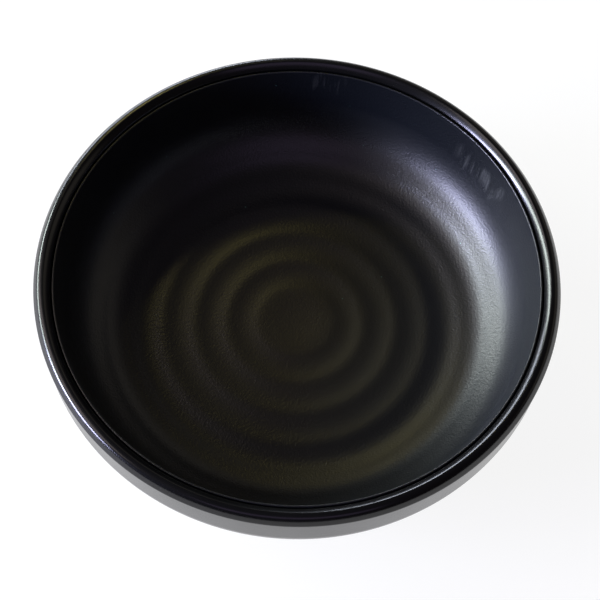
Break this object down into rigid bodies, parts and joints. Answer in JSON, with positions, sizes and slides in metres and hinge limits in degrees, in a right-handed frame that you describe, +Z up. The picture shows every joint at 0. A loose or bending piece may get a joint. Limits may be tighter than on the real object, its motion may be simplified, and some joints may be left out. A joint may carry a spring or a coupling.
{
  "type": "sauce dish",
  "caption": "Small round black sauce dish: a satin lining with a rippled floor and cove, set in a glossy shell with a rounded lip and a foot ring.",
  "frame": {"origin": "centre of the foot ring's flat underside, on the surface the dish stands on", "axes": "+Z up along the dish's axis, out of its mouth; +X and +Y are alike because the dish is round"},
  "size_m": [0.0952, 0.0952, 0.027],
  "materials": {
    "shell": "polished black melamine",
    "lining": "satin black melamine with a fine pebbled grain"
  },
  "bodies": {
    "root": {"outer_shell": "shell", "inner_lining": "lining"}
  },
  "joints": []
}
